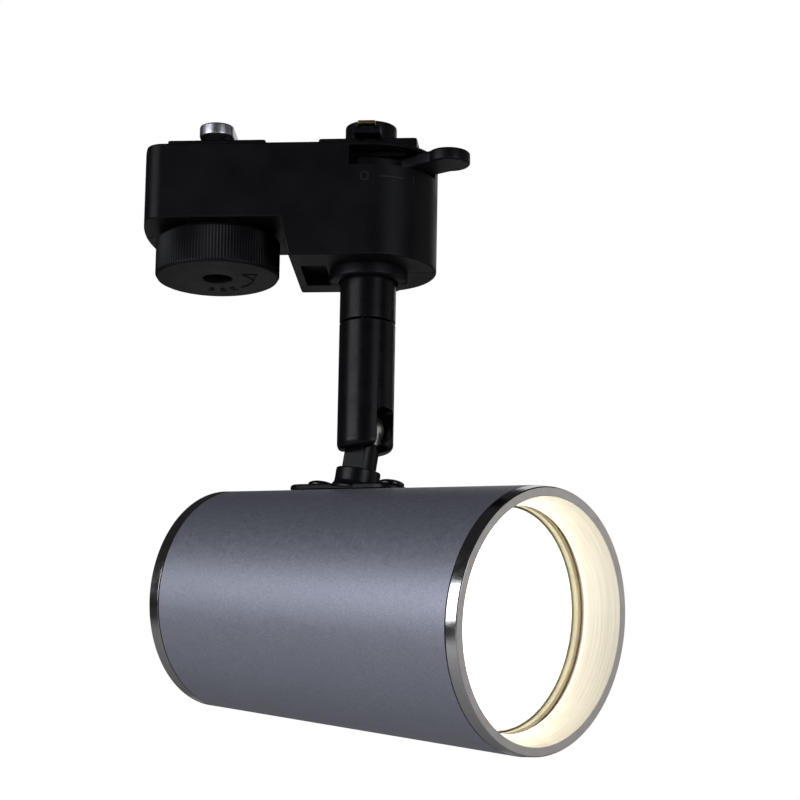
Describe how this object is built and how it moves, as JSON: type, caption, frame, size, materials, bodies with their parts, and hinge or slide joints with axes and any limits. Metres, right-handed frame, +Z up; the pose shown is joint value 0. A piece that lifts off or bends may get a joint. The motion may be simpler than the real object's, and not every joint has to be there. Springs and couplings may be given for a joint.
{
  "type": "track spotlight",
  "caption": "Track spotlight: a plug-in adapter with a contact lever and lock knob, a swivel stem and a tapered lamp head that tilts, with a replaceable twist-lock lamp.",
  "frame": {"origin": "centre of the adapter's flat top face, midway between the lock knob's axis and the stem's axis, where the adapter bears on the underside of the track", "axes": "+X along the track from the lock knob towards the stem and the contact lever, +Y across the track away from the side with the lever's slot, +Z up into the track. The head is stored panned 33.8 degrees clockwise from +X, seen from above, and tilted 10.8 degrees down."},
  "size_m": [0.1126, 0.0981, 0.1547],
  "materials": {
    "black_plastic": "fine moulded grain",
    "black_paint": "satin black powder coat",
    "black_steel": "blackened steel, semi-gloss",
    "steel": "zinc plated",
    "brass": "bright contact metal",
    "silver_paint": "fine metallic silver-grey, satin",
    "polished_aluminium": "turned and polished bands, satin faces",
    "silicone": "pale translucent silicone",
    "white_plastic": "white, smooth",
    "diffuser": "opal, lit from behind",
    "ceramic": "white steatite",
    "circuit_board": "white solder mask",
    "red_sleeving": "red insulation",
    "blue_sleeving": "blue insulation"
  },
  "bodies": {
    "adapter": {"adapter_shell_front": "black_plastic", "adapter_shell_rear": "black_plastic", "shell_screw_left": "black_steel", "shell_screw_middle": "black_steel", "shell_screw_right": "black_steel", "stem_sleeve": "black_paint", "swivel_nipple": "steel", "swivel_nut": "steel", "adapter_lead_live": "red_sleeving", "adapter_lead_neutral": "blue_sleeving"},
    "lever": {"contact_lever": "black_plastic", "contact_blade_live": "brass", "contact_blade_neutral": "brass"},
    "lock": {"lock_knob": "black_plastic", "lock_cam": "steel", "knob_screw": "black_steel", "knob_washer": "steel"},
    "stem": {"stem_tube": "black_paint", "swivel_washer": "steel", "tilt_screw": "black_steel", "stem_lead_live": "red_sleeving", "stem_lead_neutral": "blue_sleeving"},
    "head": {"tilt_knuckle": "black_paint", "plate_screw_front": "black_steel", "plate_screw_rear": "black_steel", "head_shell": "silver_paint", "front_bezel": "polished_aluminium", "rear_cap": "polished_aluminium", "centring_ring": "silicone", "holder_bracket": "steel", "lamp_holder": "ceramic", "holder_screw_left": "steel", "holder_screw_right": "steel", "holder_contact_live": "brass", "holder_contact_neutral": "brass", "head_lead_live": "red_sleeving", "head_lead_neutral": "blue_sleeving"},
    "lamp": {"lamp_shell": "white_plastic", "lamp_diffuser": "diffuser", "lamp_led_board": "circuit_board", "lamp_driver_board": "circuit_board", "lamp_base": "white_plastic", "lamp_pin_live": "brass", "lamp_pin_neutral": "brass"}
  },
  "joints": [
    {"name": "pan", "type": "hinge", "parent": "adapter", "child": "stem", "pos_m": [0.0177, 0, -0.0399], "axis": [0, 0, 1], "range_deg": [-175, 175]},
    {"name": "tilt", "type": "hinge", "parent": "stem", "child": "head", "pos_m": [0.0177, 0, -0.06532], "axis": [0.5567, 0.8307, 0], "range_deg": [-40.79, 79.21]},
    {"name": "contact_lever_turn", "type": "hinge", "parent": "adapter", "child": "lever", "pos_m": [0.0177, 0, 0], "axis": [0, 0, 1], "range_deg": [-57.5, 0]},
    {"name": "lock_knob_turn", "type": "hinge", "parent": "adapter", "child": "lock", "pos_m": [-0.0177, 0, 0], "axis": [0, 0, 1], "range_deg": [0, 90]},
    {"name": "lamp_twist", "type": "hinge", "parent": "head", "child": "lamp", "pos_m": [0.01128, 0.0043, -0.10585], "axis": [0.816, -0.5469, -0.1872], "range_deg": [0, 20]}
  ]
}
